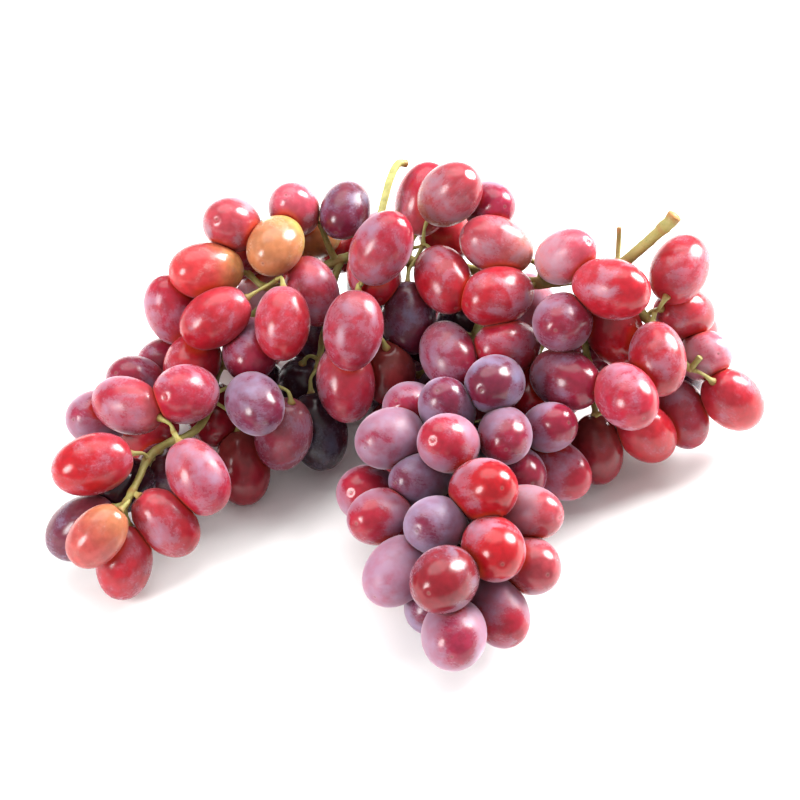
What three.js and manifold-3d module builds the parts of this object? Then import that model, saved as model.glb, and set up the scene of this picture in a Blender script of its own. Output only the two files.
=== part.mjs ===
// A bunch of red table grapes, as picked, lying on a table: one branching stem that carries every berry.
// Millimetres, +Z up, the table at z = 0. The origin is on the table under the middle of the bunch.
// The front of the bunch is towards -Y.
import * as THREE from "three";
import { mergeVertices } from "three/addons/utils/BufferGeometryUtils.js";
import Module from "manifold-3d";

const wasm = await Module();
wasm.setup();

// Berries
const BERRY_PLUMPNESS = 1.38; // a berry's length over its width
const TYPICAL_HALF_WIDTH = 9.2;
const BERRY_SIDES = 7;
const BERRY_BANDS = 5; // from the stem end to the tip
const FACET_SWELL = 1.06; // a faceted berry is made this much larger, so that it holds a round one's volume
const PRESS_WITHIN = 1.1; // how deep neighbours in one cluster press into each other
const GAP_BETWEEN = 0.9; // how far apart berries of different clusters stay
const FLAT_DEPTH = 0.6; // how deep a berry flattens where it lies on the table

// Stems
const ARM_SIDES = 5;
const PEDICEL_SIDES = 3;
const PEDICEL_RADII = [1.4, 0.8, 0.8, 1]; // at the berry, where it narrows, half way and at the stem
const PEDICEL_RUN = 3.2; // from a pedicel's end at its berry to its neck, where it may bend
const NO_NECK = 2.5; // one that ends nearer than this to its neck has none
const SHORT_PEDICEL = 9; // one that ends nearer than this past its run goes straight there
const TIP_GAP = 0.7; // from a pedicel's end to its berry
const CLEARANCE = 0.3; // between separate solids

// How the bunch is laid out: as seen by an eye in front of it and above. Across and up are measured to the
// right and up on a plane square to the line of sight through the eye's aim, and height from the table.
const VIEW_TILT = THREE.MathUtils.degToRad(45);
const EYE_DISTANCE = 1100;
const AIM = new THREE.Vector3(-3.7, -20.35, 60); // what the eye looks at
const AIM_SEEN = [-2.6, 84.8]; // its across and up

const ACROSS = new THREE.Vector3(1, 0, 0);
const UP = new THREE.Vector3(0, Math.sin(VIEW_TILT), Math.cos(VIEW_TILT));
const TOWARDS_EYE = new THREE.Vector3(0, -Math.cos(VIEW_TILT), Math.sin(VIEW_TILT));
const EYE = AIM.clone().addScaledVector(TOWARDS_EYE, EYE_DISTANCE);

// The point seen at across and up that is this high above the table.
function seenAt(across, up, height) {
  const onPlane = AIM.clone();
  onPlane.addScaledVector(ACROSS, across - AIM_SEEN[0]).addScaledVector(UP, up - AIM_SEEN[1]);
  const share = (EYE.z - height) / (EYE.z - onPlane.z);
  return EYE.clone().lerp(onPlane, share);
}

// The stem's arms: the radius at the first and last point, and the points as across, up and height.
// The axis comes first, from its cut end to the tip of the left cluster. Each other arm starts on an earlier.
const ARMS = {
  axis: {
    radii: [2, 1.1],
    route: [
      [85, 143, 78], [77.5, 136, 68], [70, 129.5, 59], [62, 124, 53], [53, 123.3, 51], [41, 122.3, 49],
      [28, 125, 46], [12, 128, 44], [-3, 129.5, 45], [-14, 130.5, 47], [-22, 129.5, 48], [-33, 124, 46],
      [-46, 115, 39], [-56, 104, 32], [-61, 94, 29], [-63, 85, 30], [-66, 77.5, 33], [-71, 73.2, 35],
      [-77, 71, 34], [-83, 66.5, 33], [-86, 60, 31], [-89, 54, 29], [-91, 50.5, 27],
    ],
  },
  stalk: {
    radii: [1.2, 1.35],
    route: [
      [-19, 130.5, 47.5], [-14, 135, 54], [-9.5, 142, 62], [-7.5, 149, 68], [-5.5, 156, 73],
      [-3, 160.5, 75], [-0.5, 160.5, 74],
    ],
  },
  front: {
    radii: [1.7, 1],
    route: [
      [28, 125, 46], [26, 117, 42], [22, 107, 37], [19, 96, 33], [17, 84, 30], [16, 72, 28],
      [16, 60, 26], [15, 48, 23], [14, 38, 20], [14, 30, 18],
    ],
  },
  right: {
    radii: [1.6, 0.9],
    route: [
      [66, 126.5, 56], [71, 120, 52], [75.5, 112, 48], [80, 107, 42], [85, 101, 37], [89, 96, 34],
      [91, 94.5, 33],
    ],
  },
  underRight: {
    radii: [1.4, 0.9],
    route: [[56, 123.3, 51.5], [56, 113, 43], [57, 101, 35], [59, 90, 30], [60, 80, 26]],
  },
  underLeft: { radii: [1.4, 0.9], route: [[-22, 129.5, 48], [-25, 118, 42], [-27, 106, 35], [-29, 95, 28]] },
  leftFork: { radii: [1.3, 0.9], route: [[-36, 121.5, 45.5], [-46, 121, 52], [-51.5, 125.5, 54]] },
  backTwig: { radii: [1.3, 0.9], route: [[-23, 129, 48], [-25.5, 134, 53], [-28, 141, 58]] },
};
// Twigs that carry no berry: one beside the cut end, one whose berry has dropped off, and the thick cut end.
const BARE_TWIGS = {
  besideCut: { radii: [0.9, 0.8], route: [[67, 128, 56], [67.4, 134.5, 61], [67.6, 140, 66]] },
  dropped: { radii: [0.8, 1.1], route: [[90.5, 94.7, 33.5], [91.5, 96, 35], [93.5, 98.5, 38]] },
  cutEnd: { radii: [1.95, 2.6], route: [[81.6, 139.6, 73.6], [83.6, 141.6, 76.2], [85.4, 143.8, 78.6]] },
};

// The berries that show from the front, cluster by cluster. Each row is across, up, height, lean, reach and
// half width. Lean is the way the tip points, in degrees from the right, and reach is half the seen length.
// The tip points towards the eye as far as the reach falls short of the true half length, or away from
// it, if marked so.
const CLUSTERS = {
  left_tip: [
    [-101, 64, 32, 197, 12.9, 9.5], [-104, 44, 13, 214, 12.8, 9.4], [-99.5, 41.3, 27, 228, 11.4, 8.1],
    [-91, 33, 12, 262, 12.1, 8.8], [-77.8, 45.2, 24, 314, 12.2, 8.9], [-67, 60.8, 32, 298, 12.8, 9.3],
    [-53, 62.5, 13, 277, 12.5, 8.9], [-89.6, 83, 37, 160, 11.8, 8.9], [-98.8, 79.6, 24, 185, 10, 8.8],
    [-87, 89, 25, 150, 10, 8.8], [-77, 97, 30, 190, 10.5, 8.9], [-71, 86.7, 44, 190, 10.4, 9.4],
    [-49.2, 83.7, 38, 300, 10.4, 9.2], [-39.5, 74, 24, 255, 11.8, 9.2], [-28.6, 75, 12, 281, 13, 9.4],
    [-84, 75.5, 18, 210, 11, 8.8], [-91, 57.5, 13, 200, 10, 8.8], [-79, 60, 12, 270, 10.5, 8.8],
    [-61, 79, 15, 280, 10.5, 9], [-34, 90, 22, 270, 11, 9], [-45, 88, 12, 280, 10, 9],
    [-62.5, 98, 31, 240, 10.5, 8.8],
  ],
  left_shoulder: [
    [-65, 126.7, 56, 184, 11.9, 9.2], [-62, 109, 52, 213, 12.8, 8.9], [-40.2, 109.4, 56, 268, 12, 8.8],
    [-75, 111, 40, 110, 11.4, 8.9], [-56, 141.8, 57, 165, 9.4, 8.8], [-37.6, 144.6, 60, 120, 8.9, 8.3],
    [-43.2, 136, 66, 238, 10.2, 8.9], [-51, 132.5, 40, 210, 11, 8.8], [-30.2, 137.3, 45, 200, 8.8, 7.9],
    [-21, 133.5, 35, 240, 9, 8], [-17.8, 145.3, 62, 250, 9.8, 8], [-31.4, 120.8, 48, 292, 11.8, 8.7],
    [-50.5, 100.5, 45, 265, 10.5, 9], [-45.5, 119.5, 33, 200, 10, 8.4], [-29, 105, 33, 268, 12, 9],
  ],
  crown: [
    [-8.6, 133.4, 66, 60, 12.6, 9.4], [-10.5, 124.5, 45, 285, 10.5, 8.6], [-17.6, 107, 56, 262, 13, 9.5],
    [-20, 90.3, 32, 276, 12.9, 9.4], [-1, 111.5, 41, 272, 12, 8.9], [11.4, 123.2, 56, 292, 11.4, 9],
    [5, 149, 60, 74, 12.6, 9.1], [13.2, 150.6, 74, 42, 11.2, 9.5], [11.5, 139, 46, 300, 10.5, 8.8],
    [26, 147, 62, 350, 8.6, 7.9], [28.4, 134.3, 62, 160, 12.3, 9.2], [28.6, 117.8, 56, 197, 12, 9.5],
    [12.8, 98, 37, 291, 11.4, 9.1], [32.5, 102, 40, 190, 11, 9], [18, 108, 30, 260, 10.5, 8.8],
    [-6, 94, 20, 275, 10.5, 8.8],
  ],
  front: [
    [14.1, 10.6, 14, 262, 10.9, 10], [29, 17.3, 13, 297, 11.6, 9.1], [11.6, 26.8, 31, 215, 10.9, 10.1],
    [-3.2, 30, 20, 228, 11.9, 9.6], [7.8, 21.5, 11, 240, 10, 8.9], [8.6, 44.6, 34, 195, 9.9, 8.9],
    [27.4, 37.2, 32, 300, 10.3, 9.7], [24.2, 56, 41, 10, 10.7, 10], [38, 31.6, 20, 335, 9.8, 8.9],
    [38.5, 49.2, 27, 352, 10.8, 8.6], [-8.6, 47.8, 26, 194, 10.2, 8.8], [-13, 54.8, 18, 170, 10, 9.3],
    [3.4, 58.7, 34, 186, 9.9, 8.3], [13, 71, 44, 165, 9.9, 9.2], [-5.6, 72.6, 36, 200, 11.2, 9.5],
    [1.5, 81.5, 30, 150, 10, 9], [12.8, 82, 39, 120, 10, 8.9], [31, 73.4, 40, 270, 9.1, 8.6],
    [45.2, 76, 34, 15, 8.8, 7.8], [35.5, 62.5, 22, 320, 9, 8.2], [48, 62.8, 20, 322, 11.6, 8.8],
    [27.6, 90, 43, 205, 9.8, 9.2],
  ],
  right: [
    [49, 110.2, 54, 225, 9.9, 9.5], [50.5, 90.6, 38, 333, 11.6, 9.6], [65.5, 120.5, 62, 345, 12.5, 9.7],
    [64, 107.5, 41, 290, 12, 9.2], [56.3, 102, 28, 290, 9.5, 8.2], [50.4, 131, 60, 30, 10.1, 8.5, "away"],
    [87, 126.8, 58, 62, 11.9, 9.3], [88.3, 112.6, 41, 352, 10.2, 8.4], [79.8, 98, 46, 277, 12, 9.1],
    [69.8, 86, 42, 305, 11.2, 9.5], [76.5, 74.6, 21, 318, 10.9, 8.8], [87.6, 78.6, 17, 294, 12, 8.6],
    [94.8, 98.8, 33, 10, 8.7, 8.3], [105.2, 85.2, 21, 321, 11.4, 9.2], [60, 69, 12, 276, 11.6, 8.5],
    [73, 97, 28, 280, 11, 9], [39, 87, 24, 270, 10, 9], [38.4, 115, 36, 280, 10.5, 8.8],
  ],
};

// Berries that the front ones hide fill the rest of the bunch. Their places are tried on a grid, moved a
// little at random.
const FILL_HEIGHTS = [9, 20, 31, 42, 53];
const FILL_ROWS = [-16, 20]; // the first and last row, from front to back, counted from the eye's aim
const FILL_COLUMNS = [-16, 16];
const FILL_STEP = 7;
const FILL_JITTER = 2;
const FILL_WIDTHS = [0.93, 1.05]; // a hidden berry's width over the typical one, at least and at most
const FILL_DROOP = 0.3; // how far a hidden berry's tip hangs from the way that leads away from its stem
const FILL_FROM_STEM = 34; // the furthest that a hidden berry's centre is from an arm
const FILL_PRESS = 2.6; // how deep a hidden berry may first press into others
const SEED = 20250;
const DRAW_FACTOR = 16807; // the usual pair for a simple series of random numbers
const DRAW_CYCLE = 2147483647;

const CLUSTER_COLOURS = {
  left_tip: "#a8343c",
  left_shoulder: "#b8404a",
  crown: "#a13a48",
  front: "#a04458",
  right: "#b23a44",
};
const CRUMB = 200; // a scrap under this many cubic millimetres is dropped
const TABLE = [600, 600, 100];

const EDGE_POINTS = 8; // where a hidden berry's edge is tested, at this share of its half width
const EDGE_SHARE = 0.9;

const SETTLE_ROUNDS = 90;
const CLEAR_ROUNDS = 12;
const CLEAR_SHARE = 0.5; // the share of the way out of a berry that a pedicel's point moves in a round
const LONGEST_REACH = 15; // no berry reaches further than this from its middle
const SIDEWAYS_SHARE = 0.35; // a berry that shows moves this much less across the line of sight than along it
const PULL = 0.6; // the share of its gap that a holding pair closes in a round
const PRESS_HELD = 0.9; // a holding pair presses at least this share of the full depth
const SEEN_TIP = 0.75; // a tip that points this much towards the eye is seen in the middle of its berry
const RECALL = 0.06; // the share of the way back to its own line of sight that it takes in a round

// A number between two others, drawn from a series that is the same at each run.
let seed = SEED;
function between([low, high]) {
  seed = (seed * DRAW_FACTOR) % DRAW_CYCLE;
  return low + ((high - low) * seed) / DRAW_CYCLE;
}

// Paths along stems: points in space, each with its radius, which changes evenly from the first to the last.
// A path's first point is moved onto the nearest of the earlier paths.
function layPaths(stems, earlier) {
  const paths = [];
  for (const { radii: [first, last], route } of Object.values(stems)) {
    const path = route.map((point, i) => {
      return { at: seenAt(...point), radius: first + ((last - first) * i) / (route.length - 1) };
    });
    const before = [...earlier, ...paths];
    if (before.length) path[0].at = nearestOn(before, path[0].at).spot;
    paths.push(path);
  }
  return paths;
}

const arms = layPaths(ARMS, []);
const bareTwigs = layPaths(BARE_TWIGS, arms);

// Half the size of a berry through its centre in a direction.
function reachOf(berry, direction) {
  const along = direction.dot(berry.axis);
  const beside = 1 - along * along;
  return 1 / Math.sqrt((along * along) / berry.halfLength ** 2 + beside / berry.halfWidth ** 2);
}

// How high a berry's centre stands when it lies on the table and has flattened there.
function restingHeight(berry) {
  const upright = berry.axis.z ** 2;
  return Math.sqrt(berry.halfLength ** 2 * upright + berry.halfWidth ** 2 * (1 - upright)) - FLAT_DEPTH;
}

function seenBerry(cluster, [across, up, height, lean, reach, halfWidth, away]) {
  const halfLength = halfWidth * BERRY_PLUMPNESS;
  const foreshortened = (reach ** 2 - halfWidth ** 2) / (halfLength ** 2 - halfWidth ** 2);
  const flat = Math.sqrt(THREE.MathUtils.clamp(foreshortened, 0, 1));
  const turned = Math.sqrt(1 - flat * flat) * (away ? -1 : 1);
  const angle = THREE.MathUtils.degToRad(lean);
  const axis = new THREE.Vector3()
    .addScaledVector(ACROSS, flat * Math.cos(angle))
    .addScaledVector(UP, flat * Math.sin(angle))
    .addScaledVector(TOWARDS_EYE, turned);
  const at = seenAt(across, up, height);
  return { cluster, at, home: at.clone(), axis, halfLength, halfWidth, shows: true };
}

const berries = [];
for (const [cluster, rows] of Object.entries(CLUSTERS)) {
  for (const row of rows) berries.push(seenBerry(cluster, row));
}


// The nearest point on the middle lines of some paths, with its distance and the radius there.
function nearestOn(paths, point) {
  let best = { distance: Infinity };
  for (const path of paths) {
    for (let i = 1; i < path.length; i++) {
      const [from, to] = [path[i - 1], path[i]];
      const step = to.at.clone().sub(from.at);
      const share = Math.min(1, Math.max(0, point.clone().sub(from.at).dot(step) / step.lengthSq()));
      const spot = from.at.clone().addScaledVector(step, share);
      const distance = spot.distanceTo(point);
      const radius = from.radius + (to.radius - from.radius) * share;
      if (distance < best.distance) best = { distance, spot, radius };
    }
  }
  return best;
}

// The gap between two berries along the line through their middles, and that line's direction.
function gapBetween(a, b) {
  const direction = b.at.clone().sub(a.at);
  const distance = direction.length();
  direction.divideScalar(distance);
  return { direction, gap: distance - reachOf(a, direction) - reachOf(b, direction) };
}

// The pairs that hold each cluster together: its berries joined one by one, each to the nearest that is in.
function holdingPairs() {
  const pairs = [];
  for (const cluster of Object.keys(CLUSTERS)) {
    const out = berries.filter((berry) => berry.cluster === cluster);
    const inside = [out.shift()];
    while (out.length) {
      let best = { gap: Infinity };
      for (const a of inside) {
        for (const b of out) {
          const { gap } = gapBetween(a, b);
          if (gap < best.gap) best = { gap, a, b };
        }
      }
      pairs.push(best);
      inside.push(best.b);
      out.splice(out.indexOf(best.b), 1);
    }
  }
  return pairs;
}

// Moves the berries apart where they press too deep, mostly along the line of sight, and up off the table,
// and draws together the pairs that hold their clusters.
function settle(rounds) {
  const pairs = holdingPairs();
  for (let round = 0; round < rounds; round++) {
    for (const { a, b } of pairs) {
      const { direction, gap } = gapBetween(a, b);
      const loose = gap + PRESS_WITHIN * PRESS_HELD;
      if (loose <= 0) continue;
      push(a, direction, (loose * PULL) / 2);
      push(b, direction, (-loose * PULL) / 2);
    }
    for (let i = 0; i < berries.length; i++) {
      for (let j = i + 1; j < berries.length; j++) {
        const [a, b] = [berries[i], berries[j]];
        if (a.at.distanceTo(b.at) > a.halfLength + b.halfLength + GAP_BETWEEN) continue;
        const { direction, gap } = gapBetween(a, b);
        const short = (a.cluster === b.cluster ? -PRESS_WITHIN : GAP_BETWEEN) - gap;
        if (short <= 0) continue;
        push(a, direction, -short / 2);
        push(b, direction, short / 2);
      }
    }
    for (const berry of berries) {
      if (berry.shows) recall(berry);
      const { distance, spot, radius } = nearestOn(arms, berry.at);
      const away = berry.at.clone().sub(spot).divideScalar(distance);
      const close = reachOf(berry, away) * FACET_SWELL + radius + CLEARANCE - distance;
      if (close > 0) push(berry, away, close);
      const short = restingHeight(berry) - berry.at.z;
      if (short > 0) {
        const sight = EYE.clone().sub(berry.at).normalize();
        berry.at.addScaledVector(sight, short / sight.z);
      }
    }
  }
}

// Moves a berry that shows back towards the line from the eye through its own place.
function recall(berry) {
  const sight = EYE.clone().sub(berry.home).normalize();
  const off = berry.at.clone().sub(berry.home);
  off.addScaledVector(sight, -off.dot(sight));
  berry.at.addScaledVector(off, -RECALL);
}

function push(berry, direction, distance) {
  const sight = EYE.clone().sub(berry.at).normalize();
  const along = direction.dot(sight);
  const share = berry.shows ? SIDEWAYS_SHARE : 1;
  berry.at.addScaledVector(direction, distance * share);
  berry.at.addScaledVector(sight, along * distance * (1 - share));
}

// Whether the berries in front hide a berry from the eye, at its middle and at points round its edge.
function isHidden(berry) {
  for (let k = 0; k <= EDGE_POINTS; k++) {
    const turn = (k * 2 * Math.PI) / EDGE_POINTS;
    const edge = k ? EDGE_SHARE * berry.halfWidth : 0;
    const spot = berry.at.clone();
    spot.addScaledVector(ACROSS, edge * Math.cos(turn)).addScaledVector(UP, edge * Math.sin(turn));
    const sight = EYE.clone().sub(spot).normalize();
    const covered = berries.some((other) => {
      const offset = other.at.clone().sub(spot);
      const ahead = offset.dot(sight);
      return ahead > 0 && offset.addScaledVector(sight, -ahead).length() < other.halfWidth;
    });
    if (!covered) return false;
  }
  return true;
}

function nearestShown(point) {
  const [nearest] = berries
    .filter((berry) => berry.shows)
    .sort((a, b) => a.at.distanceTo(point) - b.at.distanceTo(point));
  return nearest;
}

function fillBehind() {
  for (const height of FILL_HEIGHTS) {
    for (let row = FILL_ROWS[0]; row <= FILL_ROWS[1]; row++) {
      for (let column = FILL_COLUMNS[0]; column <= FILL_COLUMNS[1]; column++) {
        const at = new THREE.Vector3(
          AIM.x + column * FILL_STEP + between([-FILL_JITTER, FILL_JITTER]),
          AIM.y + row * FILL_STEP + between([-FILL_JITTER, FILL_JITTER]),
          height + between([0, FILL_JITTER]),
        );
        const halfWidth = TYPICAL_HALF_WIDTH * between(FILL_WIDTHS);
        const { distance, spot } = nearestOn(arms, at);
        if (distance > FILL_FROM_STEM || distance < halfWidth) continue;
        const axis = at.clone().sub(spot).normalize();
        axis.z -= FILL_DROOP;
        axis.normalize();
        const berry = { at, axis, halfWidth, halfLength: halfWidth * BERRY_PLUMPNESS, shows: false };
        const crowded = berries.some((other) => gapBetween(berry, other).gap < -FILL_PRESS);
        if (crowded || !isHidden(berry)) continue;
        berry.cluster = nearestShown(at).cluster;
        berries.push(berry);
      }
    }
  }
}

// A berry that is seen from the side looks the same with its tip turned towards the eye or away. Its stem end
// is on the side of the nearest arm.
function faceFromStem() {
  for (const berry of berries) {
    const turned = berry.axis.dot(TOWARDS_EYE);
    if (turned > SEEN_TIP) continue;
    const mirrored = berry.axis.clone().addScaledVector(TOWARDS_EYE, -2 * turned);
    const away = berry.at.clone().sub(nearestOn(arms, berry.at).spot);
    if (away.dot(mirrored) > away.dot(berry.axis)) berry.axis.copy(mirrored);
  }
}

settle(SETTLE_ROUNDS);
faceFromStem();
fillBehind();
settle(SETTLE_ROUNDS);


// A pedicel's path from its berry to the nearest stem. It leaves the berry half in line with it and half
// towards the stem, and is bent clear of the berries on its way. A neck that would fold it back is left out.
function pedicelPath(berry, network) {
  const tip = berry.at.clone().addScaledVector(berry.axis, -(berry.halfLength * FACET_SWELL + TIP_GAP));
  const towards = nearestOn(network, tip).spot.sub(tip).normalize();
  const neck = tip.clone().addScaledVector(towards.sub(berry.axis).normalize(), PEDICEL_RUN);
  clearOfBerries(neck, PEDICEL_RADII[1]);
  const { distance, spot } = nearestOn(network, neck);
  const points = [tip, neck];
  if (distance > SHORT_PEDICEL) {
    const middle = neck.clone().lerp(spot, 0.5);
    clearOfBerries(middle, PEDICEL_RADII[2]);
    points.push(middle);
  }
  points.push(spot);
  const folds = neck.clone().sub(tip).dot(points[2].clone().sub(neck)) < 0;
  if (folds || distance < NO_NECK) points.splice(1, 1);
  const radii = [...PEDICEL_RADII.slice(0, points.length - 1), PEDICEL_RADII[3]];
  return points.map((at, i) => ({ at, radius: radii[i] }));
}

// Moves a stem's point out of every berry that it stands in.
function clearOfBerries(point, radius) {
  for (let round = 0; round < CLEAR_ROUNDS; round++) {
    for (const berry of berries) {
      const away = point.clone().sub(berry.at);
      const distance = away.length();
      if (distance > LONGEST_REACH + radius) continue;
      away.divideScalar(distance);
      const short = reachOf(berry, away) * FACET_SWELL + radius + CLEARANCE - distance;
      if (short > 0) point.addScaledVector(away, short * CLEAR_SHARE);
    }
  }
}

// The nearest berries are joined first, and a later pedicel may branch off an earlier one. None grows on the
// stalk that stands up out of the bunch.
function branchOut() {
  const network = arms.filter((_, i) => Object.keys(ARMS)[i] !== "stalk");
  const order = berries.map((berry) => ({ berry, distance: nearestOn(arms, berry.at).distance }));
  order.sort((a, b) => a.distance - b.distance);
  for (const { berry } of order) {
    const path = pedicelPath(berry, network);
    pedicels.push(path);
    network.push(path.slice(1));
  }
}

const pedicels = [];
branchOut();

// A closed geometry as a solid. Only its corners matter, so those that it shares are merged.
function solidOf(geometry) {
  const bare = new THREE.BufferGeometry().setAttribute("position", geometry.getAttribute("position"));
  bare.setIndex(geometry.index);
  const merged = mergeVertices(bare, 1e-4);
  const vertProperties = new Float32Array(merged.getAttribute("position").array);
  const triVerts = new Uint32Array(merged.index.array);
  return new wasm.Manifold(new wasm.Mesh({ numProp: 3, vertProperties, triVerts }));
}

function berrySolid({ at, axis, halfLength, halfWidth }, grow = 0) {
  const wide = halfWidth * FACET_SWELL + grow;
  const geometry = new THREE.SphereGeometry(1, BERRY_SIDES, BERRY_BANDS);
  geometry.scale(wide, halfLength * FACET_SWELL + grow, wide);
  geometry.applyQuaternion(new THREE.Quaternion().setFromUnitVectors(new THREE.Vector3(0, 1, 0), axis));
  geometry.translate(at.x, at.y, at.z);
  return solidOf(geometry);
}

// A stem along a path: a ring of corners round each point, turned as little as can be from one to the next.
function stemSolid(path, sides, grow = 0) {
  const corners = [];
  const faces = [];
  let side = new THREE.Vector3();
  path.forEach(({ at, radius }, i) => {
    const next = path[Math.min(i + 1, path.length - 1)].at;
    const ahead = next.clone().sub(path[Math.max(i - 1, 0)].at).normalize();
    if (i === 0) side.set(0, 0, 1).cross(ahead);
    side.addScaledVector(ahead, -side.dot(ahead)).normalize();
    const other = ahead.clone().cross(side);
    const end = i === 0 ? -grow : i === path.length - 1 ? grow : 0;
    for (let k = 0; k < sides; k++) {
      const angle = (2 * Math.PI * k) / sides;
      const corner = at.clone().addScaledVector(ahead, end);
      corner.addScaledVector(side, (radius + grow) * Math.cos(angle));
      corner.addScaledVector(other, (radius + grow) * Math.sin(angle));
      corners.push(...corner.toArray());
    }
  });
  const last = (path.length - 1) * sides;
  for (let k = 0; k < sides; k++) {
    const next = (k + 1) % sides;
    for (let ring = 0; ring < last; ring += sides) {
      faces.push(ring + k, ring + next, ring + sides + next, ring + k, ring + sides + next, ring + sides + k);
    }
    if (k > 1) {
      faces.push(0, k, k - 1);
      faces.push(last, last + k - 1, last + k);
    }
  }
  const geometry = new THREE.BufferGeometry();
  geometry.setAttribute("position", new THREE.Float32BufferAttribute(corners, 3));
  geometry.setIndex(faces);
  return solidOf(geometry);
}

// The separate bodies of some solids joined, the largest first. Closed hollows are filled and scraps dropped.
function bodiesOf(solid) {
  const bodies = solid.decompose().filter((body) => body.volume() > CRUMB);
  return bodies.sort((a, b) => b.volume() - a.volume());
}

function wholeStem(grow = 0) {
  const parts = [
    ...[...arms, ...bareTwigs].map((path) => stemSolid(path, ARM_SIDES, grow)),
    ...pedicels.map((path) => stemSolid(path, PEDICEL_SIDES, grow)),
  ];
  return bodiesOf(wasm.Manifold.union(parts))[0];
}

function meshOf(name, solid, material) {
  const { vertProperties, triVerts } = solid.getMesh();
  const geometry = new THREE.BufferGeometry();
  geometry.setAttribute("position", new THREE.BufferAttribute(vertProperties, 3));
  geometry.setIndex(new THREE.BufferAttribute(triVerts, 1));
  geometry.computeVertexNormals();
  const mesh = new THREE.Mesh(geometry, material);
  mesh.name = name;
  return mesh;
}

const berryMaterial = (color) => new THREE.MeshStandardMaterial({ color, roughness: 0.35, metalness: 0 });
const stemMaterial = new THREE.MeshStandardMaterial({ color: "#a3a04a", roughness: 0.7, metalness: 0 });

// The table takes away what would reach below it.
const table = solidOf(new THREE.BoxGeometry(...TABLE).translate(0, 0, -TABLE[2] / 2));

const group = new THREE.Group();
const stem = wholeStem();
const stemRoom = wholeStem(CLEARANCE).add(stem);
group.add(meshOf("stem_framework", stem, stemMaterial));

const taken = [];
for (const [cluster, color] of Object.entries(CLUSTER_COLOURS)) {
  const own = berries.filter((berry) => berry.cluster === cluster);
  const room = taken.map((berry) => berrySolid(berry, CLEARANCE));
  let solid = wasm.Manifold.union(own.map((berry) => berrySolid(berry)));
  solid = solid.subtract(wasm.Manifold.union([table, stemRoom, ...room]));
  taken.push(...own);
  bodiesOf(solid).forEach((body, i) => {
    group.add(meshOf(i ? `berries_${cluster}_${i + 1}` : `berries_${cluster}`, body, berryMaterial(color)));
  });
}
export default group;
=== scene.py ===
import functools
import itertools
import math

import bpy
import numpy as np
from mathutils import Euler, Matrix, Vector
from mathutils import noise as lattice


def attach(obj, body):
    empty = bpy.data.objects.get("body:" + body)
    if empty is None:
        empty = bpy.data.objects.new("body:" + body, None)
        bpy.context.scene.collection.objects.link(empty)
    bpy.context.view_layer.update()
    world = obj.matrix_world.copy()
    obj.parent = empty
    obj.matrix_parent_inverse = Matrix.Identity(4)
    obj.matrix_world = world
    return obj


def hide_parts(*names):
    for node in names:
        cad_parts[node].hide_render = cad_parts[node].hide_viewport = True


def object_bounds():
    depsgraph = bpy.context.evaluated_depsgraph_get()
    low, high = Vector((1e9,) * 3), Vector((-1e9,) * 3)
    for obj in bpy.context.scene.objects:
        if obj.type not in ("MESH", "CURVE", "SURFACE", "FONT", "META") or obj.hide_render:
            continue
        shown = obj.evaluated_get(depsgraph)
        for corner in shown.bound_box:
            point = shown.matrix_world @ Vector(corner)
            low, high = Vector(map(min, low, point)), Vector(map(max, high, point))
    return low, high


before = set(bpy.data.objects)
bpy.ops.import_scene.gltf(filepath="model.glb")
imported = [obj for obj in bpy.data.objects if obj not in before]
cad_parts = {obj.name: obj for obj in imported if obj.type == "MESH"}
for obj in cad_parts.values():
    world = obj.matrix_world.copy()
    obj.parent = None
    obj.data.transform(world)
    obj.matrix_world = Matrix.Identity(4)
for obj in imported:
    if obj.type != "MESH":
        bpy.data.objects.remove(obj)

bl_info = {
    "name": "Bunch of grapes",
    "version": (1, 0, 0),
    "blender": (4, 5, 0),
    "location": "View3D > Sidebar > Grapes",
    "description": "Makes a bunch of red table grapes, berry by berry, on its branching stem",
    "category": "Add Mesh",
}

CAD_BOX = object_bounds()
MM = 0.001

# Lay-out of the bunch, in millimetres, as in the part
BERRY_PLUMPNESS = 1.38  # a berry's length over its width
TYPICAL_HALF_WIDTH = 9.2
FACET_SWELL = 1.06  # how much larger the part's own berries are
PRESS_WITHIN = 1.1  # how deep neighbours in one cluster press into each other
GAP_BETWEEN = 0.9  # how far apart berries of different clusters stay
FLAT_DEPTH = 0.6  # how deep a berry flattens where it lies on the table
PEDICEL_RADII = [1.4, 0.8, 0.8, 1]  # at the berry, where it narrows, half way and at the stem
PEDICEL_RUN = 3.2  # from its berry to where it narrows
NO_NECK = 2.5  # one that ends nearer than this to its neck has none
SHORT_PEDICEL = 9  # one that ends nearer than this past its neck goes straight there
TIP_GAP = 0.7  # from a pedicel's end to its berry
CLEARANCE = 0.3
VIEW_TILT = math.radians(45)
EYE_DISTANCE = 1100
AIM = (-3.7, -20.35, 60.0)  # what the eye looks at
AIM_SEEN = (-2.6, 84.8)  # its across and up
FILL_HEIGHTS = (9, 20, 31, 42, 53)
FILL_ROWS = (-16, 20)
FILL_COLUMNS = (-16, 16)
FILL_STEP = 7
FILL_JITTER = 2
FILL_WIDTHS = (0.93, 1.05)  # the least and the most, over the typical width
FILL_DROOP = 0.3  # how far a hidden berry's tip hangs
FILL_FROM_STEM = 34  # the furthest that a hidden berry is from an arm
FILL_PRESS = 2.6  # the deepest that a hidden berry presses when it is placed
SEED = 20250
DRAW_FACTOR = 16807
DRAW_CYCLE = 2147483647
EDGE_POINTS = 8  # tested round a hidden berry's edge
EDGE_SHARE = 0.9
SETTLE_ROUNDS = 90
CLEAR_ROUNDS = 12
CLEAR_SHARE = 0.5  # of its way out that a pedicel's point moves in a round
LONGEST_REACH = 15  # no berry reaches further than this from its middle
SIDEWAYS_SHARE = 0.35  # of a push across the line of sight, what moves a berry that shows
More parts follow.
